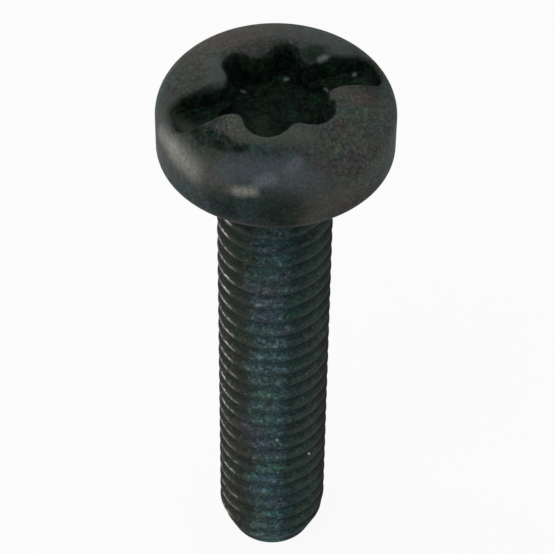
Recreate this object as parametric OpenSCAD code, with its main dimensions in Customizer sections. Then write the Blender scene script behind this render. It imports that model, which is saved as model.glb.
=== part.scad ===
// Machine screw, M4 x 0.7 x 20, pan head, with a six-lobe recess combined with a straight slot.
//
// It is one cold-headed piece of steel wire with a rolled right-hand thread. The screw stands on
// its point: the origin is the centre of the flat end of the shank and +Z runs up the axis to the
// head. The slot lies along X, and two of the six lobes lie in it. The thread is one groove that
// winds round the shank and leaves its crests on the nominal diameter. Every length is in
// millimetres.

/* [Shank and thread] */
// Nominal (major) diameter of the thread
thread_d = 4; // [3.6:0.1:5]
// Pitch of the thread
thread_pitch = 0.7; // [0.5:0.05:0.8]
// Height of the lowest crest on the +X side, which sets where the thread starts
crest_z = 0.2; // [0:0.05:0.7]
// Length under the head, to the end of the shank
shank_l = 20; // [8:1:40]
// Height of the tapered point at the end of the shank
point_h = 1.1; // [0.4:0.1:2]
// Diameter of the flat end
end_d = 3.1; // [2.6:0.05:3.15]
// Length of the plain neck between the thread and the head
neck_l = 0.8; // [0.5:0.1:1.5]
// Radius of the fillet between the neck and the underside of the head
neck_fillet_r = 0.3; // [0.25:0.05:0.5]

/* [Head] */
// Diameter of the head
head_d = 8; // [7.6:0.1:8.8]
// Height of the head, from the bearing face to the top of the dome
head_h = 3; // [2.8:0.05:3.4]
// Radius of the domed top
dome_r = 8; // [7:0.5:14]
// Radius of the round between the dome and the side of the head
head_edge_r = 0.9; // [0.5:0.05:1]
// Bevel on the lower edge of the head
head_bevel = 0.1; // [0.05:0.05:0.3]

/* [Recess] */
// Width of the six-lobe recess across opposite lobes (drive size 20)
lobe_d = 3.95; // [3.8:0.05:4.2]
// Width of the six-lobe recess across opposite ridges
ridge_d = 2.85; // [2.7:0.05:3]
// Radius of the round at the tip of each lobe
lobe_tip_r = 0.39; // [0.3:0.01:0.42]
// Depth of the lobes below the top of the dome
lobe_depth = 1.55; // [1.4:0.05:1.8]
// Further depth of the cone in the middle of the recess
cone_depth = 0.4; // [0.2:0.05:0.6]
// Width of the slot
slot_w = 1.2; // [1:0.05:1.4]
// Length of the slot
slot_l = 6.9; // [6:0.1:7]
// Depth of the slot below the top of the dome
slot_depth = 1.2; // [1:0.05:1.3]
// Radius of the four upright corners of the slot
slot_corner_r = 0.3; // [0.1:0.05:0.45]

/* [Hidden] */
$fn = 96;

// How far a metric thread's core and pitch diameters lie inside its outer one, in pitches
CORE_SHARE = 1.226869;
PITCH_SHARE = 0.649519;
// Half of the groove's mouth between two crests, in pitches
MOUTH_SHARE = 7 / 16;
// Half of the angle between the two flanks of the groove
FLANK_ANGLE = 30;
// Lobes of the recess
LOBES = 6;
// Extra length of every cut, so that it passes the surface that it opens through
OVERCUT = 1;

black_oxide = [0.17, 0.18, 0.17];

head_r = head_d / 2;
thread_r = thread_d / 2;
core_r = (thread_d - CORE_SHARE * thread_pitch) / 2;
neck_r = (thread_d - PITCH_SHARE * thread_pitch) / 2;
neck_z = shank_l - neck_l;
top_z = shank_l + head_h;

// The groove in half turns: its depth, the tilt that lifts each one to the start of the next, the
// height where it starts on the -Y side, and the number of half turns at full depth
groove_depth = thread_r - core_r;
lead_angle = atan(thread_pitch / 2 / (thread_r + core_r));
groove_z = crest_z - 3 / 4 * thread_pitch;
half_turns = floor((neck_z - thread_pitch - groove_z) / (thread_pitch / 2));

// Centre of the dome, and of the round between the dome and the side
dome_z = top_z - dome_r;
edge_x = head_r - head_edge_r;
edge_z = dome_z + sqrt(pow(dome_r - head_edge_r, 2) - pow(edge_x, 2));
edge_angle = atan2(edge_z - dome_z, edge_x);

// Centres of the arcs of the six-lobe outline: each lobe's round touches the ridges beside it
lobe_x = lobe_d / 2 - lobe_tip_r;
half_step = 180 / LOBES;
ridge_near = ridge_d / 2;
ridge_r = (pow(lobe_x, 2) + pow(ridge_near, 2) - pow(lobe_tip_r, 2)
           - 2 * lobe_x * ridge_near * cos(half_step))
          / (2 * (lobe_x * cos(half_step) + lobe_tip_r - ridge_near));
ridge_x = ridge_near + ridge_r;
touch_share = lobe_tip_r / (lobe_tip_r + ridge_r);
touch = [lobe_x + (ridge_x * cos(half_step) - lobe_x) * touch_share,
         ridge_x * sin(half_step) * touch_share];
touch_r = norm(touch);
touch_angle = atan2(touch[1], touch[0]);

// Half section of the solid head without its recess, to the right of the axis
module head_section() {
    difference() {
        intersection() {
            translate([0, dome_z]) circle(dome_r);
            polygon([[0, shank_l], [head_r - head_bevel, shank_l],
                     [head_r, shank_l + head_bevel], [head_r, top_z], [0, top_z]]);
        }
        edge_waste();
    }
}

// What the round takes off the corner between the dome and the side
module edge_waste() {
    reach = 4 * head_edge_r;
    translate([edge_x, edge_z]) difference() {
        polygon([[0, 0], [reach, 0], [reach, reach],
                 [reach * cos(edge_angle), reach * sin(edge_angle)]]);
        circle(head_edge_r);
    }
}

// Half section of the uncut shank: flat end, tapered point, thread, neck and fillet under the head
module shank_section() {
    polygon([[0, 0], [end_d / 2, 0], [thread_r, point_h], [thread_r, neck_z + neck_r - thread_r],
             [neck_r, neck_z], [neck_r, shank_l], [0, shank_l]]);
    difference() {
        translate([neck_r / 2, shank_l - neck_fillet_r])
            square([neck_r / 2 + neck_fillet_r, 2 * neck_fillet_r]);
        translate([neck_r + neck_fillet_r, shank_l - neck_fillet_r]) circle(neck_fillet_r);
    }
}

// Section of the thread's groove, with a narrow flat root and a mouth just outside the shank
module groove_section() {
    mouth_x = thread_r + OVERCUT / 20;
    mouth_half = MOUTH_SHARE * thread_pitch + (mouth_x - thread_r) * tan(FLANK_ANGLE);
    root_half = MOUTH_SHARE * thread_pitch - groove_depth * tan(FLANK_ANGLE);
    polygon([[core_r, -root_half], [mouth_x, -mouth_half],
             [mouth_x, mouth_half], [core_r, root_half]]);
}

// Half a turn of the groove. A ring set off its centre climbs out of the shank by twice that.
module half_turn(off_centre = 0) {
    translate([-off_centre, 0, 0]) rotate_extrude(angle = 180)
        translate([off_centre, 0]) groove_section();
}

// Space of the thread's groove. Half rings, tilted one way and the other, meet end to end and
// climb the shank as a right-hand screw does, and the last one runs out.
module thread_groove() {
    rotate(-90) for (i = [0 : half_turns])
        translate([0, 0, groove_z + (i + 0.5) * thread_pitch / 2])
            rotate([0, i % 2 == 0 ? lead_angle : -lead_angle, 0])
                rotate(180 * (i % 2)) half_turn(i == half_turns ? groove_depth / 2 : 0);
}

// Outline of the six-lobe recess
module six_lobe_outline() {
    difference() {
        union() {
            polygon([for (i = [0 : LOBES - 1], side = [-1, 1])
                let (a = i * 2 * half_step + side * touch_angle)
                touch_r * [cos(a), sin(a)]]);
            for (i = [0 : LOBES - 1])
                rotate(i * 2 * half_step) translate([lobe_x, 0]) circle(lobe_tip_r);
        }
        for (i = [0 : LOBES - 1])
            rotate((2 * i + 1) * half_step) translate([ridge_x, 0]) circle(ridge_r);
    }
}

// Space of the six-lobe recess, with its conical bottom
module six_lobe_recess() {
    floor_z = top_z - lobe_depth;
    intersection() {
        translate([0, 0, floor_z - cone_depth])
            linear_extrude(lobe_depth + cone_depth + OVERCUT) six_lobe_outline();
        union() {
            translate([0, 0, floor_z - cone_depth]) cylinder(h = cone_depth, r1 = 0, r2 = lobe_d / 2);
            translate([0, 0, floor_z]) cylinder(h = lobe_depth + OVERCUT, d = lobe_d + OVERCUT);
        }
    }
}

// Space of the slot, a straight groove with rounded corners at its two closed ends
module slot() {
    corner_x = slot_l / 2 - slot_corner_r;
    corner_y = slot_w / 2 - slot_corner_r;
    translate([0, 0, top_z - slot_depth]) linear_extrude(slot_depth + OVERCUT) {
        square([slot_l, 2 * corner_y], center = true);
        square([2 * corner_x, slot_w], center = true);
        for (x = [-corner_x, corner_x], y = [-corner_y, corner_y])
            translate([x, y]) circle(slot_corner_r);
    }
}

// The whole screw, one solid
module screw() {
    color(black_oxide) difference() {
        rotate_extrude() {
            head_section();
            shank_section();
        }
        six_lobe_recess();
        slot();
        thread_groove();
    }
}

screw();
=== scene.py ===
"""Looks of a black machine screw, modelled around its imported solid.

The screw is one cold-headed piece of steel: a pan head with a six-lobe recess and a straight slot
sunk in it, and a shank with a rolled metric thread. Geometry Nodes roll the thread. The head is
drawn ring by ring round the same axis, and both become one closed skin. Sizes are in millimetres
unless a name says otherwise, and the finished mesh is in metres.
"""
import logging
import math
from dataclasses import dataclass, field
from enum import Enum
from typing import Iterator, Mapping, Union

import bmesh
import bpy
import numpy as np
from mathutils import Matrix, Vector


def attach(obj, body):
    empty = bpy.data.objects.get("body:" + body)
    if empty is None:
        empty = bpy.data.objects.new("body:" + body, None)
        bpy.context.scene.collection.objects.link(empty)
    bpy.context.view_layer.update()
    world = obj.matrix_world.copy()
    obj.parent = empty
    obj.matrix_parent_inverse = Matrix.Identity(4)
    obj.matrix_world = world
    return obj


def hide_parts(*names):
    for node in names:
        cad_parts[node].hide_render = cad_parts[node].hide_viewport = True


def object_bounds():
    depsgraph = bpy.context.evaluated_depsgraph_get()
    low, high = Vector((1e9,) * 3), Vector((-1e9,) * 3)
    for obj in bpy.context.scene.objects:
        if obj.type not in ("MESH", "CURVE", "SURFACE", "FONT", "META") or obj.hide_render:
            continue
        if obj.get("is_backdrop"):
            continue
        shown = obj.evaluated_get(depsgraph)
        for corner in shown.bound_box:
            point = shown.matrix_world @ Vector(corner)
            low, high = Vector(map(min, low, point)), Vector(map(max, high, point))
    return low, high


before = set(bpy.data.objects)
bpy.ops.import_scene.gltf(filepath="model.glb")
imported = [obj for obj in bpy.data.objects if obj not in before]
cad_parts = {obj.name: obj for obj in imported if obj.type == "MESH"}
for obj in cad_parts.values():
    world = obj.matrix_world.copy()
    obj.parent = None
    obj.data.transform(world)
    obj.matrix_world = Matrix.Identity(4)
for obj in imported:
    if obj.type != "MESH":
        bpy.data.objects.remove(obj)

CAD_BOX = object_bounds()
MM = 0.001
TAU = 2 * math.pi
NEAR = 1e-4
SEAT_Z = 20.0
BLACK = (0.0, 0.0, 0.0, 1.0)
VIEW_AZIMUTH = -20.0

log = logging.getLogger("screw")


class Mark(Enum):
    """Surface marks kept with the skin's points, which the finish reads as attributes."""

    WORN = "worn"
    DEEP = "deep"


Number = Union["Socket", float]


@dataclass(frozen=True)
class Socket:
    """An output of a node. Sums written on it add Math nodes to its graph."""

    graph: "Graph"
    port: bpy.types.NodeSocket

    def __add__(self, other: Number) -> "Socket":
        """Sum of two values."""
        return self.graph.math("ADD", self, other)

    def __radd__(self, other: Number) -> "Socket":
        """Sum with a plain number on the left."""
        return self.graph.math("ADD", other, self)

    def __sub__(self, other: Number) -> "Socket":
        """Difference of two values."""
        return self.graph.math("SUBTRACT", self, other)

    def __rsub__(self, other: Number) -> "Socket":
        """Difference with a plain number on the left."""
        return self.graph.math("SUBTRACT", other, self)

    def __mul__(self, other: Number) -> "Socket":
        """Product of two values."""
        return self.graph.math("MULTIPLY", self, other)

    def __rmul__(self, other: Number) -> "Socket":
        """Product with a plain number on the left."""
        return self.graph.math("MULTIPLY", other, self)

    def __truediv__(self, other: Number) -> "Socket":
        """Quotient of two values."""
        return self.graph.math("DIVIDE", self, other)

    def clamped(self) -> "Socket":
        """The value held between 0 and 1."""
        return self.graph.math("MULTIPLY", self, 1.0, clamp=True)

    def between(self, low: Number, high: Number) -> "Socket":
        """Smooth step of the value.

        Args:
            low: Value at which the step is 0.
            high: Value at which the step is 1.

        Returns:
            A value from 0 to 1.
        """
        return self.graph.node(
            "ShaderNodeMapRange",
            {"interpolation_type": "SMOOTHSTEP"},
            {"Value": self, "From Min": low, "From Max": high},
        )


class Graph:
    """A node tree under construction, for a shader or for Geometry Nodes."""

    def __init__(self, tree: bpy.types.NodeTree) -> None:
        """Start on a tree.

        Args:
            tree: The tree that receives the nodes.
        """
        self.tree = tree

    def node(
        self,
        kind: str,
        settings: Mapping[str, object] | None = None,
        inputs: Mapping[str | int, object] | None = None,
        output: str | int = 0,
    ) -> Socket:
        """Add any node.

        Args:
            kind: The node's type.
            settings: Properties that are set before the sockets.
            inputs: A value or a link for each named or numbered socket.
            output: The output that is returned.

        Returns:
            The chosen output.
        """
        made = self.tree.nodes.new(kind)
        for name, value in (settings or {}).items():
            setattr(made, name, value)
        for name, value in (inputs or {}).items():
            self._feed(made.inputs[name], value)
        return Socket(self, made.outputs[output] if made.outputs else None)

    def _feed(self, port: bpy.types.NodeSocket, value: object) -> None:
        """Link a socket or set its value."""
        if isinstance(value, Socket):
            self.tree.links.new(value.port, port)
        else:
            port.default_value = value

    def math(self, operation: str, *values: Number, clamp: bool = False) -> Socket:
        """Add a Math node.

        Args:
            operation: What the node works out.
            values: Its one to three values.
            clamp: Whether the result is held between 0 and 1.

        Returns:
            The result.
        """
        settings = {"operation": operation, "use_clamp": clamp}
        return self.node("ShaderNodeMath", settings, dict(enumerate(values)))

    def vector(
        self, operation: str, *values: object, scale: float = 1.0, output: str = "Vector"
    ) -> Socket:
        """Add a Vector Math node.

        Args:
            operation: What the node works out.
            values: Its vectors or colours.
            scale: Factor that the operation SCALE uses.
            output: "Vector", or "Value" where the result is a number.

        Returns:
            The result.
        """
        inputs = dict(enumerate(values))
        if operation == "SCALE":
            inputs["Scale"] = scale
        return self.node("ShaderNodeVectorMath", {"operation": operation}, inputs, output)

    def mix(self, share: Number, first: object, second: object) -> Socket:
        """Blend two colours.

        Args:
            share: 0 gives the first colour and 1 the second.
            first: Colour or link.
            second: Colour or link.

        Returns:
            The blended colour.
        """
        inputs = {"Factor": share, 6: first, 7: second}
        return self.node("ShaderNodeMix", {"data_type": "RGBA"}, inputs, 2)


@dataclass
class Skin:
    """Points, marks and faces of the screw's surface, gathered ring by ring."""

    points: list[np.ndarray] = field(default_factory=list)
    marks: dict[Mark, list[np.ndarray]] = field(default_factory=lambda: {m: [] for m in Mark})
    faces: list[tuple[int, ...]] = field(default_factory=list)
    count: int = 0

    def add_points(self, points: np.ndarray, worn: np.ndarray, deep: np.ndarray) -> np.ndarray:
        """Add points with their marks.

        Args:
            points: Rows of x, y and z.
            worn: How worn the finish is at each point, from 0 to 1.
            deep: How deep each point lies in a recess or groove, from 0 to 1.

        Returns:
            The new points' numbers.
        """
        self.points.append(points)
        for mark, values in ((Mark.WORN, worn), (Mark.DEEP, deep)):
            self.marks[mark].append(np.broadcast_to(values, len(points)).astype(float))
        numbers = np.arange(self.count, self.count + len(points))
        self.count += len(points)
        return numbers

    def add_ring(
        self,
        angles: np.ndarray,
        radius: np.ndarray | float,
        height: np.ndarray | float,
        worn: float = 0.0,
        deep: np.ndarray | float = 0.0,
    ) -> np.ndarray:
        """Add a closed ring round the axis.

        Args:
            angles: Angle of each point, in radians, rising.
            radius: Distance from the axis, one for all or one for each point.
            height: Height, one for all or one for each point.
            worn: Wear of the finish on the ring.
            deep: Depth mark of the ring.

        Returns:
            The ring's point numbers.
        """
        radius = np.broadcast_to(radius, len(angles))
        height = np.broadcast_to(height, len(angles))
        points = np.stack([radius * np.cos(angles), radius * np.sin(angles), height], axis=1)
        return self.add_points(points, worn, deep)

    def join_rings(self, first: np.ndarray, second: np.ndarray) -> None:
        """Fill the band between two rings of equal length with quads."""
        for a, b, c, d in zip(first, np.roll(first, -1), np.roll(second, -1), second):
            self.faces.append((a, b, c, d))

    def zip_rings(
        self, first: np.ndarray, first_angles: np.ndarray, second: np.ndarray, second_angles: np.ndarray
    ) -> None:
        """Fill the band between two rings of different lengths with triangles.

        Args:
            first: Point numbers of one ring.
            first_angles: Its angles, rising.
            second: Point numbers of the other ring.
            second_angles: Its angles, rising.
        """
        ends_a = np.append(first_angles, first_angles[0] + TAU)
        ends_b = np.append(second_angles, second_angles[0] + TAU)
        i = j = 0
        while i < len(first) or j < len(second):
            a, b = first[i % len(first)], second[j % len(second)]
            if j == len(second) or (i < len(first) and ends_a[i + 1] <= ends_b[j + 1]):
                self.faces.append((a, first[(i + 1) % len(first)], b))
                i += 1
            else:
                self.faces.append((a, second[(j + 1) % len(second)], b))
                j += 1

    def close_ring(self, ring: np.ndarray, height: float, deep: float = 0.0) -> None:
        """Fill a ring with triangles round one point on the axis."""
        apex = self.add_points(np.array([[0.0, 0.0, height]]), 0.0, deep)[0]
        for a, b in zip(ring, np.roll(ring, -1)):
            self.faces.append((a, b, apex))

    def to_object(self, name: str, material: bpy.types.Material) -> bpy.types.Object:
        """Turn the skin into a mesh object in metres, with its faces outwards.

        Args:
            name: Name of the object and its mesh.
            material: Finish of the whole skin.

        Returns:
            The object, linked to the scene.
        """
        mesh = bpy.data.meshes.new(name)
        mesh.from_pydata((np.concatenate(self.points) * MM).tolist(), [], self.faces)
        for mark, values in self.marks.items():
            layer = mesh.attributes.new(mark.value, "FLOAT", "POINT")
            layer.data.foreach_set("value", np.concatenate(values).astype(np.float32))
        build = bmesh.new()
        build.from_mesh(mesh)
        bmesh.ops.remove_doubles(build, verts=build.verts, dist=1e-7)
        bmesh.ops.recalc_face_normals(build, faces=build.faces)
        open_edges = sum(1 for edge in build.edges if not edge.is_manifold)
        build.to_mesh(mesh)
        build.free()
        mesh.shade_smooth()
        mesh.materials.append(material)
        piece = bpy.data.objects.new(name, mesh)
        bpy.context.scene.collection.objects.link(piece)
        log.info("%s: %d faces, %d open edges", name, len(mesh.polygons), open_edges)
        return piece


@dataclass(frozen=True)
class Drive:
    """Recess of the head: six lobes, with a shallower straight slot through two of them."""

    lobe_d: float = 3.95
    ridge_d: float = 2.85
    lobe_tip_r: float = 0.39
    lobe_depth: float = 1.55
    cone_depth: float = 0.4
    slot_w: float = 1.2
    slot_l: float = 6.9
    slot_depth: float = 1.2
    slot_corner_r: float = 0.3
    lip_r: float = 0.2
    lip_height: float = 1.6
    lobe_flare: float = 1.5
    drag: float = 0.32
    drag_to: float = 250.0
    slot_drag: float = 0.3
    draw_in_d: float = 5.0
    draw_in: float = 0.4
    blend: float = 0.08
    lobes: int = 6
    floor_fillet_r: float = 0.08
    floor_ease: float = 0.1
    slot_run_in: float = 0.25
    lip_room: float = 0.66

    def lean(self, angles: np.ndarray) -> np.ndarray:
        """Share of the punch's drag in each direction, from 0 on the far side to 1."""
        return (1 + np.cos(angles - math.radians(self.drag_to))) / 2

    def sunk(self, radius: np.ndarray) -> np.ndarray:
        """How far the punch drew the head's top down round the recess.

        Args:
            radius: Distances from the axis.

        Returns:
            One depth for each distance.
        """
        outer, inner = self.draw_in_d / 2, self.ridge_d / 2
        return self.draw_in * np.clip((outer - radius) / (outer - inner), 0, 1.2) ** 2

    def lobe_outline(self, angles: np.ndarray, grow: np.ndarray | float) -> np.ndarray:
        """Distance from the axis to the six-lobe outline.

        Args:
            angles: Directions, in radians.
            grow: How far the outline is moved outwards, one for all or one for each direction.

        Returns:
            One distance for each direction.
        """
        half = math.pi / self.lobes
        centre = self.lobe_d / 2 - self.lobe_tip_r
        near = self.ridge_d / 2
        ridge_r = (
            centre**2 + near**2 - self.lobe_tip_r**2 - 2 * centre * near * math.cos(half)
        ) / (2 * (centre * math.cos(half) + self.lobe_tip_r - near))
        ridge_x = near + ridge_r
        tip, ridge = self.lobe_tip_r + grow, ridge_r - grow
        share = tip / (tip + ridge)
        touch = np.arctan2(
            ridge_x * math.sin(half) * share, centre + (ridge_x * math.cos(half) - centre) * share
        )
        turn = np.abs((angles + half) % (2 * half) - half)
        on_tip = centre * np.cos(turn) + np.sqrt(np.maximum(tip**2 - (centre * np.sin(turn)) ** 2, 0))
        across = half - turn
        on_ridge = ridge_x * np.cos(across) - np.sqrt(
            np.maximum(ridge**2 - (ridge_x * np.sin(across)) ** 2, 0)
        )
        return np.where(turn <= touch, on_tip, on_ridge)

    def slot_outline(self, angles: np.ndarray, grow: np.ndarray | float) -> np.ndarray:
        """Distance from the axis to the slot's outline, a long rectangle with round corners.

        Args:
            angles: Directions, in radians.
            grow: How far the outline is moved outwards, one for all or one for each direction.

        Returns:
            One distance for each direction.
        """
        across, along = np.abs(np.sin(angles)), np.maximum(np.abs(np.cos(angles)), 1e-9)
        across = np.maximum(across, 1e-9)
        corner_x = self.slot_l / 2 - self.slot_corner_r
        corner_y = self.slot_w / 2 - self.slot_corner_r
        radius = self.slot_corner_r + grow
        end = (corner_x + radius) / along
        side = (corner_y + radius) / across
        middle = corner_x * along + corner_y * across
        off = corner_x * across - corner_y * along
        corner = middle + np.sqrt(np.maximum(radius**2 - off**2, 0))
        past_end = np.where(side * along <= corner_x, side, corner)
        return np.where(end * across <= corner_y, end, past_end)

    def outline(self, angles: np.ndarray, grow: float, drag: float = 0.0) -> np.ndarray:
        """Distance from the axis to the joint outline of lobes and slot, with eased inner corners.

        Args:
            angles: Directions, in radians.
            grow: Share of the lip's width that is added all round.
            drag: Share of the punch's drag that is added on its side.

        Returns:
            One distance for each direction.
        """
        lip = self.lip_r * grow
        shift = self.drag * drag * self.lean(angles)
        lobes = self.lobe_outline(angles, lip * self.lobe_flare + shift)
        slot = self.slot_outline(angles, lip + shift * self.slot_drag)
        return 0.5 * (lobes + slot + np.sqrt((lobes - slot) ** 2 + self.blend**2))

    def columns(self, count: int) -> np.ndarray:
        """Directions of the head's columns, set closer together near the slot's corners.

        Args:
            count: Number of columns.

        Returns:
            Rising angles from 0, in radians.
        """
        spread, crowding = math.radians(4), 3.0
        fine = np.linspace(0, TAU, 7201)
        off_slot = np.abs((fine + math.pi / 2) % math.pi - math.pi / 2)
        corner = math.atan2(self.slot_w, self.slot_l)
        weight = 1 + crowding * np.exp(-(((off_slot - corner) / spread) ** 2) / 2)
        total = np.concatenate([[0], np.cumsum((weight[1:] + weight[:-1]) / 2)])
        return np.interp(np.arange(count) * total[-1] / count, total, fine)


@dataclass(frozen=True)
class Head:
    """Pan head: flat bearing face, straight side, round edge and domed top with its recess."""

    seat_z: float = SEAT_Z
    head_d: float = 8.0
    head_h: float = 3.0
    dome_r: float = 8.0
    edge_r: float = 0.9
    lower_edge_r: float = 0.1
    column_count: int = 320
    drive: Drive = Drive()

    @property
    def dome_z(self) -> float:
        """Height of the dome's centre."""
        return self.seat_z + self.head_h - self.dome_r

    @property
    def edge_x(self) -> float:
        """Distance from the axis to the centre of the edge's round."""
        return self.head_d / 2 - self.edge_r

    @property
    def edge_z(self) -> float:
        """Height of the centre of the edge's round."""
        return self.dome_z + math.sqrt((self.dome_r - self.edge_r) ** 2 - self.edge_x**2)

    def top(self, radius: np.ndarray) -> np.ndarray:
        """Height of the dome and the edge's round.

        Args:
            radius: Distances from the axis.

        Returns:
            One height for each distance.
        """
        dome_end = self.edge_x * self.dome_r / (self.dome_r - self.edge_r)
        dome = self.dome_z + np.sqrt(self.dome_r**2 - np.minimum(radius, dome_end) ** 2)
        over = np.clip(radius - self.edge_x, 0, self.edge_r)
        edge = self.edge_z + np.sqrt(self.edge_r**2 - over**2)
        return np.where(radius <= dome_end, dome, edge) - self.drive.sunk(radius)

    def _side(self, skin: Skin, angles: np.ndarray) -> Iterator[np.ndarray]:
        """Rings of the bearing face, the side and the outer part of the edge's round."""
        radius = self.head_d / 2
        for share in (0.6, 0.75, 0.9):
            yield skin.add_ring(angles, radius * share, self.seat_z)
        for turn in np.radians([0, 22, 45, 68, 90]):
            out = radius - self.lower_edge_r * (1 - math.sin(turn))
            up = self.seat_z + self.lower_edge_r * (1 - math.cos(turn))
            yield skin.add_ring(angles, out, up, worn=0.3 * math.sin(turn))
        for share in (0.25, 0.6):
            yield skin.add_ring(angles, radius, self.seat_z + (self.edge_z - self.seat_z) * share)
        for turn in np.radians(np.linspace(0, 46, 10)):
            out = self.edge_x + self.edge_r * math.cos(turn)
            yield skin.add_ring(angles, out, self.edge_z + self.edge_r * math.sin(turn), worn=0.15)

    def _dome(self, skin: Skin, angles: np.ndarray) -> Iterator[np.ndarray]:
        """Rings that pass from the edge's round to the recess's lip."""
        rim = self.edge_x + self.edge_r * math.cos(math.radians(46))
        lip = self.drive.outline(angles, 1, 1)
        for share in np.linspace(0, 1, 33)[1:]:
            radius = rim + (lip - rim) * share
            yield skin.add_ring(angles, radius, self.top(radius))

    def _lip(self, skin: Skin, angles: np.ndarray) -> Iterator[np.ndarray]:
        """Rings of the rounded lip, down to the upright wall."""
        for turn in np.radians(np.linspace(0, 90, 12))[1:]:
            radius = self.drive.outline(angles, 1 - math.sin(turn), 1)
            height = self.top(radius) - self._lip_drop(angles) * (1 - math.cos(turn))
            yield skin.add_ring(
                angles, radius, height, worn=0.15 * math.sin(2 * turn), deep=math.sin(turn) ** 1.5
            )

    def _lip_drop(self, angles: np.ndarray) -> np.ndarray:
        """Height of the lip's round for each direction."""
        slot_z = self.seat_z + self.head_h - self.drive.slot_depth
        room = self.top(self.drive.outline(angles, 0, 1)) - slot_z
        return np.minimum(self.drive.lip_r * self.drive.lip_height, room * self.drive.lip_room)

    def _recess(self, skin: Skin, angles: np.ndarray) -> Iterator[np.ndarray]:
        """Rings of the slot's wall and floor, then of the lobes' wall and conical floor."""
        drive, top_z, fillet = self.drive, self.seat_z + self.head_h, self.drive.floor_fillet_r
        mouth = drive.outline(angles, 0, 1)
        wall = drive.outline(angles, 0)
        lobes = drive.lobe_outline(angles, 0)
        lip_z = self.top(mouth) - self._lip_drop(angles)
        slot_z, lobe_z = top_z - drive.slot_depth, top_z - drive.lobe_depth
        open_share = np.clip((wall - lobes) / drive.slot_run_in, 0, 1)
        in_slot = open_share**2 * (3 - 2 * open_share)
        stretch = drive.floor_ease * (1 - in_slot)
        for share in (0.35, 0.7, 1.0):
            radius = mouth + (wall - mouth) * share
            height = lip_z + (slot_z + fillet + stretch - lip_z) * share
            yield skin.add_ring(angles, radius, height, deep=1.0)
        for turn in np.radians([45, 90]):
            inset = fillet * (1 - math.cos(turn)) * in_slot
            yield skin.add_ring(
                angles, wall - inset, slot_z + fillet * (1 - math.sin(turn)) + stretch, deep=0.8
            )
        for share in (0.25, 0.5, 0.75, 0.95):
            start = wall - fillet * in_slot
            radius = start + (lobes + 0.03 * in_slot - start) * share
            height = slot_z + stretch * (1 - 2 * share)
            yield skin.add_ring(angles, radius, height, deep=1 - 0.1 * in_slot)
        for share in (3 / 35, 15 / 35, 27 / 35):
            height = slot_z - stretch - (slot_z - lobe_z) * share
            yield skin.add_ring(angles, lobes, height, deep=1.0)
        cone_slope = drive.cone_depth / (drive.lobe_d / 2)
        for share in (0.96, 0.85, 0.7, 0.5, 0.3, 0.12):
            radius = lobes * share
            height = lobe_z - cone_slope * (drive.lobe_d / 2 - radius)
            yield skin.add_ring(angles, radius, height, deep=1.0)

    def wrap(self, skin: Skin, seat: np.ndarray, seat_angles: np.ndarray) -> None:
        """Draw the head on the skin.

        Args:
            skin: The surface under construction.
            seat: Ring where the shank's fillet meets the bearing face.
            seat_angles: Angles of that ring.
        """
        angles = self.drive.columns(self.column_count)
        last = None
        for part in (self._side, self._dome, self._lip, self._recess):
            for ring in part(skin, angles):
                if last is None:
                    skin.zip_rings(seat, seat_angles, ring, angles)
                else:
                    skin.join_rings(last, ring)
                last = ring
        floor_z = self.seat_z + self.head_h - self.drive.lobe_depth - self.drive.cone_depth
        skin.close_ring(last, floor_z, deep=1.0)


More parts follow.
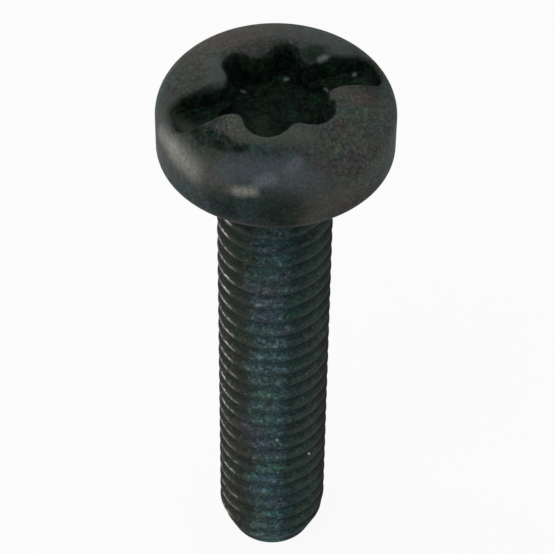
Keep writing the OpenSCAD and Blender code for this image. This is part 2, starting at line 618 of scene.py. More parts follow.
@dataclass(frozen=True)
class Shank:
    """Shank with its rolled right-hand thread, tapered point and fillet under the head."""

    length: float = SEAT_Z
    thread_d: float = 4.0
    pitch: float = 0.7
    core_d: float = 3.141
    crest_start: float = 0.2
    point_h: float = 1.1
    point_d: float = 3.1
    neck_d: float = 3.545
    thread_top: float = 19.2
    groove_top: float = 18.575
    neck_fillet_r: float = 0.3
    column_count: int = 128
    rows_per_pitch: int = 16

    def _thread_tree(self) -> bpy.types.NodeTree:
        """Build the node tree that rolls the thread.

        Returns:
            A Geometry Nodes tree with the thread's sizes as inputs.
        """
        tree = bpy.data.node_groups.new("rolled_thread", "GeometryNodeTree")
        tree.interface.new_socket("Geometry", in_out="OUTPUT", socket_type="NodeSocketGeometry")
        lengths = (
            "Outer Radius", "Core Radius", "Pitch", "Crest Start", "Thread Top",
            "Groove Top", "Neck Radius", "Point Radius", "Point Height",
        )
        for name in lengths:
            tree.interface.new_socket(name, in_out="INPUT", socket_type="NodeSocketFloat")
        for name in ("Columns", "Rows", "Rows per Pitch", "First Turn"):
            tree.interface.new_socket(name, in_out="INPUT", socket_type="NodeSocketInt")
        tree.interface.new_socket("Finish", in_out="INPUT", socket_type="NodeSocketMaterial")

        graph = Graph(tree)
        given = tree.nodes.new("NodeGroupInput")

        def size(name: str) -> Socket:
            """One of the tree's inputs."""
            return Socket(graph, given.outputs[name])

        across, along = size("Columns") + 1, size("Rows") + 1
        sheet = graph.node(
            "GeometryNodeMeshGrid", {}, {"Vertices X": across, "Vertices Y": along}, "Mesh"
        )
        index = graph.node("GeometryNodeInputIndex")
        column = graph.math("FLOOR", (index + 0.5) / along)
        turn = column / size("Columns")
        turns_up = (index - column * along) / size("Rows per Pitch") + size("First Turn")
        pitch, outer, core = size("Pitch"), size("Outer Radius"), size("Core Radius")
        raw_z = (turns_up + turn) * pitch + size("Crest Start")
        height = graph.math("MINIMUM", graph.math("MAXIMUM", raw_z, 0.0), size("Thread Top"))

        from_crest = graph.math("PINGPONG", turns_up, 0.5)
        flank = outer - (from_crest - 1 / 16) * pitch * math.sqrt(3)
        crested = graph.math("SMOOTH_MIN", flank, outer, 0.03)
        rolled = graph.math("SMOOTH_MAX", crested, core, 0.07)
        groove_z = (graph.math("FLOOR", turns_up) + turn + 0.5) * pitch + size("Crest Start")
        fade = groove_z.between(size("Groove Top") - pitch * 0.5, size("Groove Top"))
        faded = rolled + (outer - rolled) * fade
        tip = size("Point Radius")
        taper = tip + (outer - tip) * height / size("Point Height")
        pointed = graph.math("MINIMUM", faded, taper)
        collar = graph.math("MAXIMUM", size("Thread Top") - height, 0.0) + size("Neck Radius")
        radius = graph.math("MINIMUM", pointed, collar)

        angle = turn * TAU
        place = graph.node(
            "ShaderNodeCombineXYZ",
            {},
            {
                "X": radius * graph.math("COSINE", angle),
                "Y": radius * graph.math("SINE", angle),
                "Z": height,
            },
        )
        wrapped = graph.node("GeometryNodeSetPosition", {}, {"Geometry": sheet, "Position": place})
        rise = (radius - core) / (outer - core)
        marked = wrapped
        for mark, value in (
            (Mark.WORN, rise.between(0.8, 1.0)),
            (Mark.DEEP, (1 - rise).between(0.1, 0.8)),
        ):
            marked = graph.node(
                "GeometryNodeStoreNamedAttribute",
                {"data_type": "FLOAT", "domain": "POINT"},
                {"Geometry": marked, "Name": mark.value, "Value": value},
            )
        sewn = graph.node("GeometryNodeMergeByDistance", {}, {"Geometry": marked, "Distance": 0.001})
        real = graph.node("GeometryNodeRealizeInstances", {}, {"Geometry": sewn})
        done = graph.node(
            "GeometryNodeSetMaterial", {}, {"Geometry": real, "Material": size("Finish")}
        )
        graph.node("NodeGroupOutput", {}, {"Geometry": done})
        return tree

    def _roll(self, material: bpy.types.Material) -> bpy.types.Mesh:
        """Run the thread's tree.

        Args:
            material: Finish of the thread.

        Returns:
            The thread as a plain mesh in millimetres, open at both ends.
        """
        tree = self._thread_tree()
        first_turn = math.floor(-self.crest_start / self.pitch) - 1
        turns = math.ceil((self.thread_top - self.crest_start) / self.pitch) - first_turn
        values = {
            "Outer Radius": self.thread_d / 2,
            "Core Radius": self.core_d / 2,
            "Pitch": self.pitch,
            "Crest Start": self.crest_start,
            "Thread Top": self.thread_top,
            "Groove Top": self.groove_top,
            "Neck Radius": self.neck_d / 2,
            "Point Radius": self.point_d / 2,
            "Point Height": self.point_h,
            "Columns": self.column_count,
            "Rows": turns * self.rows_per_pitch,
            "Rows per Pitch": self.rows_per_pitch,
            "First Turn": first_turn,
            "Finish": material,
        }
        blank = bpy.data.objects.new("thread_blank", bpy.data.meshes.new("thread_blank"))
        bpy.context.scene.collection.objects.link(blank)
        roller = blank.modifiers.new("roller", "NODES")
        roller.node_group = tree
        for item in tree.interface.items_tree:
            if item.in_out == "INPUT":
                roller[item.identifier] = values[item.name]
        evaluated = blank.evaluated_get(bpy.context.evaluated_depsgraph_get())
        mesh = bpy.data.meshes.new_from_object(evaluated)
        blank.modifiers.remove(roller)
        bpy.data.objects.remove(blank)
        return mesh

    def wrap(self, skin: Skin, material: bpy.types.Material) -> tuple[np.ndarray, np.ndarray]:
        """Draw the shank on the skin, from its end to the bearing face.

        Args:
            skin: The surface under construction.
            material: Finish of the thread.

        Returns:
            The ring where the fillet meets the bearing face, and its angles.
        """
        mesh = self._roll(material)
        count = len(mesh.vertices)
        points = np.empty(count * 3)
        mesh.vertices.foreach_get("co", points)
        points = points.reshape(-1, 3)
        marks = {}
        for mark in Mark:
            marks[mark] = np.empty(count)
            mesh.attributes[mark.value].data.foreach_get("value", marks[mark])
        numbers = skin.add_points(points, marks[Mark.WORN], marks[Mark.DEEP])
        skin.faces.extend(tuple(polygon.vertices) for polygon in mesh.polygons)
        bpy.data.meshes.remove(mesh)

        turn = np.arctan2(points[:, 1], points[:, 0]) % TAU
        turn[turn > TAU - NEAR] = 0
        rings = []
        for height in (0.0, self.thread_top):
            edge = np.flatnonzero(np.abs(points[:, 2] - height) < NEAR)
            rings.append(numbers[edge[np.argsort(turn[edge])]])
        angles = np.arange(len(rings[0])) * TAU / len(rings[0])

        last = rings[0]
        for share in (0.97, 0.9, 0.45):
            dish = 0.0 if share > 0.8 else 0.04
            ring = skin.add_ring(angles, self.point_d / 2 * share, dish)
            skin.join_rings(last, ring)
            last = ring
        skin.close_ring(last, 0.06)

        last = rings[1]
        centre = self.neck_d / 2 + self.neck_fillet_r
        for lift in np.radians([0, 15, 30, 45, 60, 75, 90]):
            radius = centre - self.neck_fillet_r * math.cos(lift)
            height = self.length - self.neck_fillet_r * (1 - math.sin(lift))
            ring = skin.add_ring(angles, radius, height)
            skin.join_rings(last, ring)
            last = ring
        return last, angles


def seen_from_front(right: float, front: float, up: float) -> Vector:
    """Place on the screw, given as seen with the slot turned 20 degrees.

    Args:
        right: Distance to the right of the axis, in millimetres.
        front: Distance in front of the axis, in millimetres.
        up: Height, in millimetres.

    Returns:
        The place in the part's own axes, in millimetres.
    """
    turn = math.radians(VIEW_AZIMUTH)
    x = right * math.cos(turn) + front * math.sin(turn)
    y = right * math.sin(turn) - front * math.cos(turn)
    return Vector((x, y, up))


@dataclass(frozen=True)
class Stain:
    """Soft-edged patch of another tone, placed as seen_from_front takes it."""

    right: float
    front: float
    up: float
    reach: float
    colour: tuple[float, ...] = BLACK
    strength: float = 0.6

    def centre(self) -> Vector:
        """Middle of the patch in the part's own axes, in millimetres."""
        return seen_from_front(self.right, self.front, self.up)


@dataclass(frozen=True)
class Streak:
    """Smooth streak of another tone between two places, each as seen_from_front takes it."""

    start: tuple[float, float, float]
    end: tuple[float, float, float]
    reach: float
    colour: tuple[float, ...] = BLACK
    strength: float = 0.8


@dataclass(frozen=True)
class PaintedSideLight:
    """Painted light and shade of the shank on the side that faces one way. Angles are in degrees."""

    azimuth: float
    spread: float
    colour: tuple[float, ...]
    strength: float = 0.7


class Surface:
    """Masks over the screw's surface, from its own place and its marks."""

    def __init__(self, graph: Graph) -> None:
        """Start on a shader's graph.

        Args:
            graph: The graph that receives the nodes.
        """
        self.graph = graph
        place = graph.node("ShaderNodeTexCoord", {}, {}, "Object")
        self.place = graph.vector("SCALE", place, scale=1 / MM)
        # How far the swirl moves a place on average, in millimetres
        self.push = 0.7
        swirl = self.noise(0.9, 4, 0.6, "Color")
        moved = graph.vector("SCALE", swirl, scale=2 * self.push)
        self.ragged = graph.vector("ADD", self.place, moved)

    def noise(
        self,
        scale: float,
        detail: float,
        roughness: float = 0.55,
        output: str = "Fac",
        flatness: float = 1.0,
    ) -> Socket:
        """Noise over the surface.

        Args:
            scale: Waves for each millimetre.
            detail: Octaves of finer noise.
            roughness: Strength of the finer noise.
            output: "Fac" or "Color".
            flatness: How many times shorter the waves are upwards than round the screw.

        Returns:
            The noise, 0.5 on average.
        """
        place = self.place
        if flatness != 1.0:
            place = self.graph.vector("MULTIPLY", place, (1, 1, flatness))
        inputs = {"Vector": place, "Scale": scale, "Detail": detail, "Roughness": roughness}
        return self.graph.node("ShaderNodeTexNoise", {}, inputs, output)

    def mark(self, which: Mark) -> Socket:
        """One of the skin's marks."""
        return self.graph.node("ShaderNodeAttribute", {"attribute_name": which.value}, {}, "Fac")

    def height(self) -> Socket:
        """Height above the screw's end, in millimetres."""
        return self.graph.node("ShaderNodeSeparateXYZ", {}, {0: self.place}, "Z")

    def patch(self, stain: Stain) -> Socket:
        """Share of a stain at each point, with a ragged edge where the stain is broad."""
        broad = stain.reach > self.push / 2
        place, shift = (self.ragged, self.push) if broad else (self.place, 0.0)
        centre = tuple(value + shift for value in stain.centre())
        away = self.graph.vector("DISTANCE", place, centre, output="Value")
        return away.between(stain.reach * 1.25, stain.reach * 0.35) * stain.strength

    def streak(self, streak: Streak) -> Socket:
        """Share of a streak at each point, fading smoothly away from its line."""
        start = seen_from_front(*streak.start)
        run = seen_from_front(*streak.end) - start
        offset = self.graph.vector("SUBTRACT", self.place, tuple(start))
        scaled_run = tuple(run / run.length_squared)
        along = self.graph.vector("DOT_PRODUCT", offset, scaled_run, output="Value")
        nearest = self.graph.vector("MULTIPLY_ADD", along.clamped(), tuple(run), tuple(start))
        away = self.graph.vector("DISTANCE", self.place, nearest, output="Value")
        return away.between(streak.reach * 1.4, 0.0) * streak.strength

    def side(self, side_light: PaintedSideLight) -> Socket:
        """Share of the surface that faces a tint's way round the axis, with a ragged edge.

        Args:
            side_light: Its azimuth is as direction_from takes it. Its spread is the angle to each side
                at which the share falls to nothing.

        Returns:
            A value from 0 to 1.
        """
        centred = self.graph.vector("SUBTRACT", self.ragged, (self.push,) * 3)
        around = self.graph.vector("MULTIPLY", centred, (1, 1, 0))
        level = self.graph.vector("NORMALIZE", around)
        ahead = tuple(direction_from(side_light.azimuth, 0))
        facing = self.graph.vector("DOT_PRODUCT", level, ahead, output="Value")
        faded, full = math.radians(side_light.spread), math.radians(side_light.spread / 4)
        return facing.between(math.cos(faded), math.cos(full))

    def varied(self, colour: Socket, scale: float, contrast: float) -> Socket:
        """Vary a colour's hue and strength from place to place.

        Args:
            colour: The colour to vary.
            scale: Waves for each millimetre.
            contrast: How strongly each channel follows its own noise.

        Returns:
            The varied colour.
        """
        spots = self.noise(scale, 3, 0.6, "Color")
        gain = self.graph.vector(
            "MULTIPLY_ADD", spots, (contrast,) * 3, (1 - contrast / 2,) * 3
        )
        return self.graph.vector("MULTIPLY", colour, self.graph.vector("MAXIMUM", gain, (0.2,) * 3))

    def speckled(
        self, colour: Socket, scale: float, contrast: Number, flatness: float = 1.0
    ) -> Socket:
        """Lighten and darken a colour in fine specks.

        Args:
            colour: The colour to speckle.
            scale: Waves for each millimetre.
            contrast: How strongly the colour follows the specks.
            flatness: How many times wider than high the specks are.

        Returns:
            The speckled colour, of the same hue.
        """
        gain = (self.noise(scale, 2, 0.7, "Fac", flatness) - 0.5) * contrast + 1
        return self.graph.vector("MULTIPLY", colour, self.graph.math("MAXIMUM", gain, 0.15))


@dataclass(frozen=True)
class Masks:
    """Values over the surface that several steps of the finish share."""

    mottle: Socket
    grain: Socket
    patchy: Socket
    worn: Socket
    deep: Socket
    on_shank: Socket


@dataclass(frozen=True)
class BlackOxide:
    """Black oxide on steel: nearly black, mottled, stained and worn at its edges, with painted light
    and shade.
    """

    name: str = "black_oxide_steel"
    dark: tuple[float, ...] = (0.016, 0.026, 0.022, 1)
    grey: tuple[float, ...] = (0.040, 0.046, 0.040, 1)
    # Dark tone of the painted shade in the recess and grooves, and of the dark grain and stains.
    shade_and_stain: tuple[float, ...] = (0.002, 0.006, 0.004, 1)
    brown: tuple[float, ...] = (0.056, 0.044, 0.034, 1)
    green: tuple[float, ...] = (0.012, 0.032, 0.018, 1)
    teal: tuple[float, ...] = (0.016, 0.044, 0.047, 1)
    # Painted light that lifts the shade in the thread's grooves.
    painted_groove_light: tuple[float, ...] = (0.085, 0.145, 0.150, 1)
    shine: float = 0.16
    shade_and_stain_shine: float = 0.03
    tones: tuple[Stain, ...] = (
        Stain(-2.2, -2.4, 22.3, 1.9, (0.066, 0.054, 0.038, 1), 0.6),
        Stain(-0.4, -3.4, 22.0, 1.5, (0.036, 0.036, 0.028, 1), 0.6),
        Stain(-3.0, -0.6, 22.4, 1.2, (0.042, 0.048, 0.038, 1), 0.6),
        Stain(2.4, 2.9, 21.5, 1.7, (0.078, 0.069, 0.056, 1), 0.75),
        Stain(2.6, 1.2, 22.6, 1.9, (0.054, 0.066, 0.058, 1), 0.8),
        Stain(-1.5, 1.9, 22.5, 0.6, (0.100, 0.098, 0.080, 1), 0.75),
        Stain(0.7, 2.2, 22.5, 0.6, (0.064, 0.070, 0.054, 1), 0.6),
        Stain(2.4, 0.2, 22.6, 0.8, (0.068, 0.060, 0.052, 1), 0.7),
        Stain(-1.2, 1.5, 16.3, 0.9, (0.010, 0.030, 0.012, 1), 0.8),
        Stain(-1.2, 1.5, 11.7, 0.7, (0.012, 0.032, 0.014, 1), 0.7),
        Stain(1.1, 1.6, 17.0, 0.8, (0.012, 0.038, 0.020, 1), 0.7),
        Stain(-0.3, 1.9, 14.7, 0.7, (0.090, 0.094, 0.110, 1), 0.65),
        Stain(0.1, 1.9, 12.5, 0.6, (0.085, 0.100, 0.110, 1), 0.65),
        Stain(-0.8, 1.7, 6.9, 0.8, (0.070, 0.060, 0.072, 1), 0.6),
        Stain(-1.0, 1.6, 5.6, 0.6, (0.050, 0.052, 0.026, 1), 0.6),
        Stain(1.4, 1.4, 17.3, 0.6, (0.040, 0.044, 0.058, 1), 0.6),
        Stain(1.4, 1.4, 12.3, 0.5, (0.040, 0.044, 0.062, 1), 0.6),
        Stain(0.8, 1.8, 13.5, 0.7, (0.010, 0.056, 0.042, 1), 0.7),
    )
    # Painted highlight streaks on the head; the fifth streak is painted shade on the upper shank's
    # left, towards the head.
    painted_highlights_and_shade: tuple[Streak, ...] = (
        Streak((-1.5, 3.4, 22.0), (0.6, 3.5, 22.05), 0.62, (0.066, 0.088, 0.104, 1), 0.85),
        Streak((0.3, 3.8, 21.85), (1.3, 3.7, 21.7), 0.75, (0.082, 0.096, 0.100, 1), 0.7),
        Streak((1.2, 3.8, 20.4), (2.0, 3.4, 20.9), 0.7, (0.092, 0.080, 0.070, 1), 0.7),
        Streak((-1.0, 2.3, 22.5), (1.0, 2.35, 22.55), 0.45, (0.090, 0.098, 0.078, 1), 0.7),
        Streak((-1.7, 1.1, 19.0), (-1.6, 1.2, 13.0), 0.8, (0.010, 0.020, 0.012, 1), 0.5),
        Streak((-1.95, -1.0, 22.65), (-2.0, -0.2, 22.6), 0.42, (0.066, 0.096, 0.084, 1), 0.85),
        Streak((-3.2, 2.3, 21.6), (-1.8, 3.4, 21.5), 0.7, (0.090, 0.090, 0.080, 1), 0.75),
        Streak((-3.7, 1.3, 21.6), (-3.45, 1.9, 21.7), 0.38, (0.19, 0.19, 0.165, 1)),
        Streak((-3.3, 2.2, 21.7), (-2.7, 2.9, 21.6), 0.5, (0.22, 0.22, 0.19, 1), 0.9),
        Streak((-1.9, 3.5, 21.4), (-1.2, 3.8, 21.5), 0.26, (0.11, 0.11, 0.095, 1)),
        Streak((-1.2, 3.8, 21.5), (-0.7, 3.88, 21.6), 0.24, (0.27, 0.27, 0.24, 1), 0.9),
        Streak((-0.5, 3.75, 21.9), (-0.1, 3.7, 21.95), 0.24, (0.16, 0.18, 0.20, 1), 0.7),
        Streak((0.5, 3.4, 22.15), (0.7, 3.2, 22.25), 0.24, (0.14, 0.15, 0.18, 1), 0.6),
    )
    # Painted light and shade round the shank: a bright teal band on the front, teal and green beside
    # it, darker brown to the left, painted shade at the right edge, and teal behind.
    painted_side_light: tuple[PaintedSideLight, ...] = (
        PaintedSideLight(-84.0, 66.0, (0.012, 0.013, 0.007, 1), 0.9),
        PaintedSideLight(-6.0, 48.0, (0.014, 0.050, 0.054, 1), 0.8),
        PaintedSideLight(36.0, 48.0, (0.022, 0.052, 0.036, 1), 0.8),
        PaintedSideLight(74.0, 44.0, (0.008, 0.016, 0.013, 1), 0.85),
        PaintedSideLight(-26.0, 27.0, (0.070, 0.128, 0.138, 1), 0.85),
        PaintedSideLight(155.0, 50.0, (0.022, 0.056, 0.058, 1), 0.6),
    )
    # Worn crests on the shank's left, with painted glints on them.
    worn_and_glint_side: PaintedSideLight = PaintedSideLight(-83.0, 31.0, (0.34, 0.33, 0.30, 1), 0.9)
    # Painted light on the crests and painted shade in the grooves, on the shank's right and left.
    painted_thread_shading_sides: tuple[PaintedSideLight, ...] = (
        PaintedSideLight(44.0, 60.0, (0.064, 0.090, 0.078, 1), 0.6),
        PaintedSideLight(-60.0, 40.0, (0.066, 0.074, 0.058, 1), 0.35),
    )
    # Painted shade along the shank's right edge.
    painted_shade_far_side: PaintedSideLight = PaintedSideLight(73.0, 35.0, (0.002, 0.004, 0.003, 1), 0.9)
    # Colour of the light specks on the shank, which show more on its front as a painted sheen.
    speck_sheen_side: PaintedSideLight = PaintedSideLight(-24.0, 30.0, (0.32, 0.38, 0.40, 1), 0.25)
    speck_share: float = 0.2
    # The head's worn lower edge, lighter also as a painted highlight along it.
    rim: tuple[float, ...] = (0.095, 0.105, 0.095, 1)
    glints: tuple[Stain, ...] = (
        Stain(0.17, 1.73, 6.49, 0.06, (0.80, 0.85, 0.88, 1), 1.0),
        Stain(1.37, 1.24, 5.11, 0.06, (0.80, 0.85, 0.88, 1), 1.0),
        Stain(0.20, 1.98, 4.85, 0.05, (0.80, 0.85, 0.88, 1), 1.0),
    )
    # Painted sheen by the far lobe and painted glints in the recess, painted light on the slot's left
    # end and the recess's left lip, three small bright marks on the shank, and a painted lighter patch
    # in the recess's shade.
    painted_glints_and_light: tuple[Streak, ...] = (
        Streak((1.46, -1.27, 22.60), (1.60, -1.34, 22.63), 0.16, (0.19, 0.22, 0.20, 1), 0.85),
        Streak((-1.14, -1.05, 21.36), (-1.06, -1.03, 21.36), 0.09, (0.16, 0.20, 0.21, 1), 0.85),
        Streak((0.31, -1.64, 21.38), (0.35, -1.65, 21.39), 0.11, (0.26, 0.30, 0.31, 1), 0.9),
        Streak((1.64, -0.91, 21.63), (1.69, -0.88, 21.60), 0.11, (0.30, 0.34, 0.36, 1), 0.95),
        Streak((2.58, -1.41, 21.80), (2.61, -1.49, 21.80), 0.10, (0.20, 0.24, 0.26, 1), 0.85),
        Streak((-3.6, 0.7, 22.0), (-2.75, 1.4, 21.95), 0.42, (0.044, 0.047, 0.038, 1), 1.0),
        Streak((-3.35, 0.3, 22.2), (-3.45, 0.7, 22.05), 0.24, (0.050, 0.056, 0.046, 1), 0.8),
        Streak((-2.6, 0.05, 22.38), (-1.8, -0.08, 22.52), 0.2, (0.056, 0.076, 0.066, 1), 0.85),
        Streak((0.08, 2.0, 11.95), (0.30, 2.0, 12.15), 0.05, (0.55, 0.62, 0.64, 1), 0.9),
        Streak((0.30, 2.0, 12.15), (0.52, 1.95, 12.0), 0.05, (0.45, 0.52, 0.54, 1), 0.8),
        Streak((-0.62, 1.9, 14.0), (-0.50, 1.9, 14.05), 0.06, (0.55, 0.60, 0.62, 1), 0.9),
        Streak((-0.6, 1.35, 21.3), (-0.45, 0.2, 21.2), 0.4, (0.015, 0.024, 0.017, 1), 0.6),
    )
    # Painted shade: dark patches by the far lobe, on the head's lower front and in the slot's right
    # arm.
    painted_shade_patches: tuple[Stain, ...] = (
        Stain(1.2, -1.6, 22.7, 0.6, strength=0.8),
        Stain(-1.6, 3.6, 20.8, 0.8, strength=0.6),
        Stain(0.2, 4.0, 20.7, 1.1, strength=0.55),
        Stain(2.6, -0.9, 21.8, 1.3, strength=1.0),
    )
    drips: tuple[Streak, ...] = (
        Streak((-2.75, 1.55, 22.2), (-2.35, 2.1, 22.35), 0.36, strength=0.9),
        Streak((-2.35, 2.1, 22.35), (-1.65, 2.55, 22.4), 0.42, strength=1.0),
        Streak((-1.65, 2.55, 22.4), (-0.9, 2.75, 22.45), 0.3, strength=0.9),
        Streak((-0.9, 2.75, 22.45), (0.0, 3.0, 22.4), 0.24, strength=0.5),
    )

    def _body(self, surface: Surface, masks: Masks) -> Socket:
        """Colour of the oxide with painted light and shade round the shank and painted highlight
        streaks, before the dark shader and wear.

        Args:
            surface: Works out each stain, streak and noise.
            masks: Values that the steps share.

        Returns:
            The colour.
        """
        graph, on_shank = surface.graph, masks.on_shank
        body = graph.mix(masks.mottle.between(0.34, 0.68), self.dark, self.grey)
        drifts = ((self.green, 0.38, 0.45), (self.brown, 0.55, 0.3), (self.teal, 0.47, 0.6))
        for tone, scale, share in drifts:
            body = graph.mix(surface.noise(scale, 3).between(0.48, 0.64) * share, body, tone)
        # Painted light and shade on the shank, by the way each side faces.
        for side_light in self.painted_side_light:
            share = surface.side(side_light) * on_shank
            body = graph.mix(share * side_light.strength, body, side_light.colour)
        for stain in self.tones:
            body = graph.mix(surface.patch(stain), body, stain.colour)
        body = surface.varied(body, scale=1.0, contrast=1.1)
        body = surface.varied(body, scale=4.0, contrast=0.3)
        body = surface.speckled(body, scale=4.5, contrast=1.9 - on_shank * 0.6)
        body = surface.speckled(body, scale=3.0, contrast=on_shank * 3.2, flatness=3.5)
        body = surface.speckled(body, scale=9.0, contrast=2.2 + on_shank * 1.0)
        # Painted highlight streaks, and one streak of painted shade, over the speckle.
        for streak in self.painted_highlights_and_shade:
            body = graph.mix(surface.streak(streak), body, streak.colour)
        return body

    def _shaded_and_stained(self, surface: Surface, masks: Masks) -> Socket:
        """Share of the surface under the dark shader: painted shade in the recess, beside it and on the
        head's lower side, and dark stains trailing from the slot.

        Args:
            surface: Works out each stain, streak and noise.
            masks: Values that the steps share.

        Returns:
            A value from 0 to 1.
        """
        graph = surface.graph
        blots = surface.noise(scale=2.6, detail=4, roughness=0.65)
        # Painted shade, deepest in the recess.
        recess = (masks.deep + (blots - 0.5) * 0.5).between(0.24, 0.66)
        shade_and_stain_share = recess * (1 - masks.on_shank)
        for stain in self.painted_shade_patches:
            shade_and_stain_share = graph.math("MAXIMUM", shade_and_stain_share, surface.patch(stain))
        for drip in self.drips:
            uneven = 1 + (masks.mottle - 0.5) * 3 + (blots - 0.5) * 5
            share = (surface.streak(drip) * uneven).between(0.1, 1.05)
            shade_and_stain_share = graph.math("MAXIMUM", shade_and_stain_share, share)
        return shade_and_stain_share

    def _lay_glints_and_light(self, surface: Surface, body: Socket, shade_and_stain_share: Socket) -> tuple[Socket, Socket]:
        """Lay the shank's glints, and the painted glints and light, on the oxide, and clear the dark
        shader under them.

        Args:
            surface: Works out each stain and streak.
            body: Colour of the oxide.
            shade_and_stain_share: Share of the surface under painted shade and stains.

        Returns:
            The colour and the share under painted shade and stains.
        """
        spots = [(surface.patch(stain), stain.colour) for stain in self.glints]
        spots += [(surface.streak(streak), streak.colour) for streak in self.painted_glints_and_light]
        for share, colour in spots:
            body = surface.graph.mix(share, body, colour)
            shade_and_stain_share = shade_and_stain_share * (1 - share)
        return body, shade_and_stain_share

    def _worn_and_glinting(self, masks: Masks, side: Socket) -> Socket:
        """Share of the surface that is worn bright, with painted glints on the shank's crests.

        Args:
            masks: Values that the steps share.
            side: Share of the surface on the side of painted glints.

        Returns:
            A value from 0 to 1.
        """
        # On the shank, crests light up mostly on the glint side, as painted glints.
        exposed = masks.worn * (1 - masks.on_shank * (0.85 - side * self.worn_and_glint_side.strength))
        uneven = (masks.patchy - 0.5) * (1.2 + masks.on_shank * 2.4)
        return (exposed + uneven).between(0.5 + masks.on_shank * 0.15, 1.1)

    def _painted_thread_shading(self, surface: Surface, masks: Masks, body: Socket) -> Socket:
        """Paint light on the thread's crests and shade in its grooves, on the shank's right and left.

        Args:
            surface: Works out each side.
            masks: Values that the steps share.
            body: Colour of the oxide.

        Returns:
            The colour.
        """
        graph = surface.graph
        crest, groove = (1 - masks.deep).between(0.6, 1.0), masks.deep.between(0.3, 0.9)
        for side_light in self.painted_thread_shading_sides:
            crest_and_groove_shading = surface.side(side_light) * masks.on_shank * masks.patchy.between(0.25, 0.6)
            body = graph.mix(crest_and_groove_shading * crest * side_light.strength, body, side_light.colour)
            body = graph.mix(crest_and_groove_shading * groove * side_light.strength, body, self.shade_and_stain)
        return body

    def _aged(self, surface: Surface, masks: Masks, body: Socket, worn_and_glint: Socket) -> Socket:
        """Add the worn rim with a painted highlight, the specks with a painted sheen on the front, and
        painted shade on the right edge.

        Args:
            surface: Works out each side and noise.
            masks: Values that the steps share.
            body: Colour of the oxide.
            worn_and_glint: Share of the surface that is worn bright, with painted glints on the shank's
                crests.

        Returns:
            The colour.
        """
        graph, on_shank = surface.graph, masks.on_shank
        # The head's worn lower edge, lighter also as a painted highlight.
        rim = masks.worn.between(0.2, 0.3) * (1 - on_shank) * masks.patchy.between(0.3, 0.6)
        body = graph.mix(rim * 0.7, body, self.rim)
        # Worn metal at the edges, and painted glints on the shank's left crests.
        body = graph.mix(worn_and_glint * 0.45, body, self.worn_and_glint_side.colour)
        # Light specks on the shank, more on its front as a painted sheen.
        specks = surface.noise(scale=9.0, detail=2, roughness=0.6).between(0.60, 0.74) * on_shank
        bright = self.speck_share + surface.side(self.speck_sheen_side) * self.speck_sheen_side.strength
        body = graph.mix(specks * bright, body, self.speck_sheen_side.colour)
        body = graph.mix(masks.grain.between(0.62, 0.40) * 0.35, body, self.shade_and_stain)
        # Painted shade along the shank's right edge.
        far = surface.side(self.painted_shade_far_side) * on_shank
        return graph.mix(far * self.painted_shade_far_side.strength, body, self.painted_shade_far_side.colour)

    def build(self) -> bpy.types.Material:
        """Build the node material.

        Returns:
            A material that reads object coordinates and the skin's marks.
        """
        material = bpy.data.materials.new(self.name)
        material.use_nodes = True
        material.node_tree.nodes.clear()
        graph = Graph(material.node_tree)
        surface = Surface(graph)
        mottle = surface.noise(scale=1.6, detail=5, roughness=0.65)
        grain = surface.noise(scale=11.0, detail=3, roughness=0.75)
        masks = Masks(
            mottle=mottle,
            grain=grain,
            patchy=mottle * 0.5 + surface.noise(scale=4.0, detail=3, roughness=0.6) * 0.5,
            worn=surface.mark(Mark.WORN),
            deep=surface.mark(Mark.DEEP),
            on_shank=surface.height().between(SEAT_Z + 0.05, SEAT_Z - 0.05),
        )

        # Side of the shank whose crests get painted glints.
        side = surface.side(self.worn_and_glint_side)
        worn_and_glint = self._worn_and_glinting(masks, side)
        # Painted light in the thread's grooves, less on the glint side.
        painted_groove_light = masks.deep.between(0.2, 1.0) * masks.on_shank * (0.4 - side * 0.28)
        body = graph.mix(painted_groove_light, self._body(surface, masks), self.painted_groove_light)
        body, shade_and_stain_share = self._lay_glints_and_light(surface, body, self._shaded_and_stained(surface, masks))
        # Painted shade on the thread's crests away from the glint side, damping their light.
        body = graph.mix(masks.worn * masks.on_shank * (1 - side) * 0.5, body, self.shade_and_stain)
        body = self._aged(surface, masks, self._painted_thread_shading(surface, masks, body), worn_and_glint)

        rough = 0.42 + mottle.between(0.3, 0.7) * 0.12 + grain * 0.06 - worn_and_glint * 0.2
        height = grain * 0.4 + mottle * 0.6
        bump = graph.node(
            "ShaderNodeBump", {}, {"Strength": 0.35, "Distance": 0.00003, "Height": height}
        )
        oxide = graph.node(
            "ShaderNodeBsdfPrincipled",
            {},
            {
                "Base Color": body,
                "Roughness": rough,
                "Metallic": worn_and_glint * 0.6,
                "Specular IOR Level": self.shine,
                "Normal": bump,
            },
        )
        # Dark, dull shader for painted shade in and round the recess and on the head's lower side, and
        # for the stains from the slot.
        shade_and_stain_tone = graph.mix(grain.between(0.40, 0.70) * 0.6, self.shade_and_stain, self.green)
        shade_and_stain = graph.node(
            "ShaderNodeBsdfPrincipled",
            {},
            {
                "Base Color": surface.speckled(surface.varied(shade_and_stain_tone, 2.0, 2.2), 4.0, 7.0),
                "Roughness": 0.6,
                "Specular IOR Level": self.shade_and_stain_shine,
                "Normal": bump,
            },
        )
        shader = graph.node("ShaderNodeMixShader", {}, {"Fac": shade_and_stain_share * 0.9, 1: oxide, 2: shade_and_stain})
        graph.node("ShaderNodeOutputMaterial", {}, {"Surface": shader})
        return material


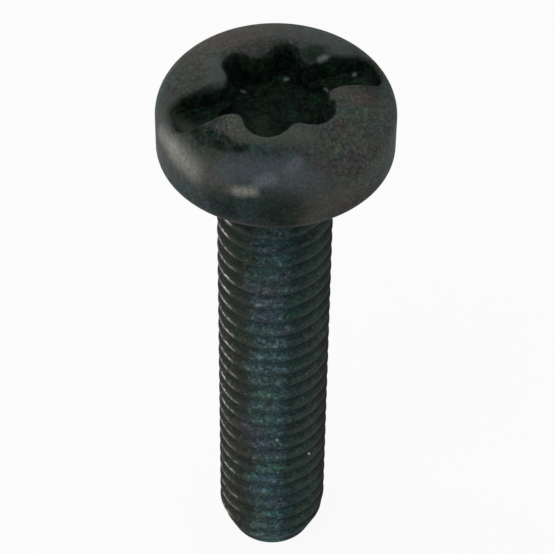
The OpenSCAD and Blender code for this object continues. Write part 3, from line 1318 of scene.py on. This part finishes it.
@dataclass(frozen=True)
class PaleFloor:
    """White studio floor that keeps the shadow and fades to white for the camera."""

    name: str = "pale_floor"
    colour: tuple[float, ...] = (0.88, 0.88, 0.88, 1)
    lift: float = 0.92

    def build(self) -> bpy.types.Material:
        """Build the node material.

        Returns:
            Matt white paint with a share of plain white for camera rays.
        """
        material = bpy.data.materials.new(self.name)
        material.use_nodes = True
        material.node_tree.nodes.clear()
        graph = Graph(material.node_tree)
        paint = graph.node("ShaderNodeBsdfDiffuse", {}, {"Color": self.colour})
        glow = graph.node("ShaderNodeEmission", {}, {"Color": (1, 1, 1, 1), "Strength": 1.0})
        seen = graph.node("ShaderNodeLightPath", {}, {}, "Is Camera Ray")
        mixed = graph.node("ShaderNodeMixShader", {}, {"Fac": seen * self.lift, 1: paint, 2: glow})
        graph.node("ShaderNodeOutputMaterial", {}, {"Surface": mixed})
        return material


@dataclass(frozen=True)
class Lamp:
    """A square softbox that points at the screw. Angles are in degrees and lengths in metres."""

    name: str
    azimuth: float
    elevation: float
    distance: float
    size: float
    watts: float

    def place(self, target: Vector) -> None:
        """Add the lamp, aimed at a point."""
        data = bpy.data.lights.new(self.name, "AREA")
        data.shape = "SQUARE"
        data.size = self.size
        data.energy = self.watts
        lamp = bpy.data.objects.new(self.name, data)
        offset = direction_from(self.azimuth, self.elevation) * self.distance
        lamp.matrix_world = looking(target + offset, target)
        bpy.context.scene.collection.objects.link(lamp)


def direction_from(azimuth: float, elevation: float) -> Vector:
    """Unit vector from the screw towards a viewer.

    Args:
        azimuth: 0 stands in front and looks along +Y; it rises anticlockwise. Degrees.
        elevation: Height above the horizon, in degrees.

    Returns:
        The direction.
    """
    a, e = math.radians(azimuth), math.radians(elevation)
    return Vector((math.sin(a) * math.cos(e), -math.cos(a) * math.cos(e), math.sin(e)))


def looking(eye: Vector, target: Vector, roll: float = 0.0) -> Matrix:
    """Placement of a camera or lamp that faces a point.

    Args:
        eye: Where it stands.
        target: What it faces.
        roll: Turn about its own line of sight, in degrees.

    Returns:
        Its world matrix.
    """
    turn = (target - eye).to_track_quat("-Z", "Y").to_matrix()
    return Matrix.Translation(eye) @ (turn @ Matrix.Rotation(math.radians(roll), 3, "Z")).to_4x4()


@dataclass(frozen=True)
class Studio:
    """Floor, lamps, plain white surroundings and the camera."""

    azimuth: float = VIEW_AZIMUTH
    eye_out: float = 60.53
    eye_up: float = 78.39
    aim_up: float = 13.44
    aim_right: float = 0.096
    roll: float = 0.69
    focal_px: float = 2515.2
    image_px: int = 554
    floor_size: float = 4.0
    surroundings: float = 0.5
    lamps: tuple[Lamp, ...] = (
        Lamp("key", -118.0, 2.0, 0.09, 0.025, 0.03),
        Lamp("fill", -60.0, 60.0, 0.45, 0.20, 0.30),
    )

    def _floor(self) -> None:
        """Lay the floor under the screw."""
        half = self.floor_size / 2
        mesh = bpy.data.meshes.new("floor")
        corners = [(-half, -half, 0), (half, -half, 0), (half, half, 0), (-half, half, 0)]
        mesh.from_pydata(corners, [], [(0, 1, 2, 3)])
        mesh.materials.append(PaleFloor().build())
        floor = bpy.data.objects.new("floor", mesh)
        bpy.context.scene.collection.objects.link(floor)
        floor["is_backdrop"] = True

    def _surroundings(self) -> None:
        """Make the world: plain white where it is seen, dimmer as a light."""
        world = bpy.data.worlds.new("studio")
        bpy.context.scene.world = world
        world.use_nodes = True
        world.node_tree.nodes.clear()
        graph = Graph(world.node_tree)
        path = {
            name: graph.node("ShaderNodeLightPath", {}, {}, name)
            for name in ("Is Camera Ray", "Is Glossy Ray", "Is Transmission Ray")
        }
        seen = (path["Is Camera Ray"] + path["Is Glossy Ray"] + path["Is Transmission Ray"]).clamped()
        strength = self.surroundings + seen * (1 - self.surroundings)
        sky = graph.node("ShaderNodeBackground", {}, {"Color": (1, 1, 1, 1), "Strength": strength})
        graph.node("ShaderNodeOutputWorld", {}, {"Surface": sky})

    def _camera(self) -> None:
        """Stand the camera where a screw of these proportions looks most like the photograph."""
        data = bpy.data.cameras.new("camera")
        data.sensor_width = 36.0
        data.lens = data.sensor_width * self.focal_px / self.image_px
        data.clip_start = 0.001
        data.clip_end = 20.0
        camera = bpy.data.objects.new("camera", data)
        level = direction_from(self.azimuth, 0)
        right = Vector((-level.y, level.x, 0))
        eye = (level * self.eye_out + Vector((0, 0, self.eye_up))) * MM
        aim = (right * self.aim_right + Vector((0, 0, self.aim_up))) * MM
        camera.matrix_world = looking(eye, aim, self.roll)
        bpy.context.scene.collection.objects.link(camera)
        bpy.context.scene.camera = camera

    def build(self) -> None:
        """Set up everything round the screw."""
        self._floor()
        self._surroundings()
        for lamp in self.lamps:
            lamp.place(Vector((0, 0, self.aim_up * MM)))
        self._camera()
        bpy.context.scene.view_settings.view_transform = "Standard"


@dataclass(frozen=True)
class Screw:
    """The whole screw: shank and head in one skin."""

    shank: Shank = Shank()
    head: Head = Head()
    finish: BlackOxide = BlackOxide()

    def build(self) -> bpy.types.Object:
        """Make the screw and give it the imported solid's place.

        Returns:
            The finished piece.
        """
        material = self.finish.build()
        skin = Skin()
        seat, seat_angles = self.shank.wrap(skin, material)
        self.head.wrap(skin, seat, seat_angles)
        piece = skin.to_object("screw_skin", material)
        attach(piece, "root")
        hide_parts("screw")
        return piece


def main() -> None:
    """Build the studio and the screw."""
    logging.basicConfig(level=logging.INFO, format="%(name)s: %(message)s")
    Studio().build()
    Screw().build()
    boxes = {"cad": CAD_BOX, "visual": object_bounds()}
    sizes = {name: [list(corner) for corner in box] for name, box in boxes.items()}


if __name__ == "__main__":
    main()
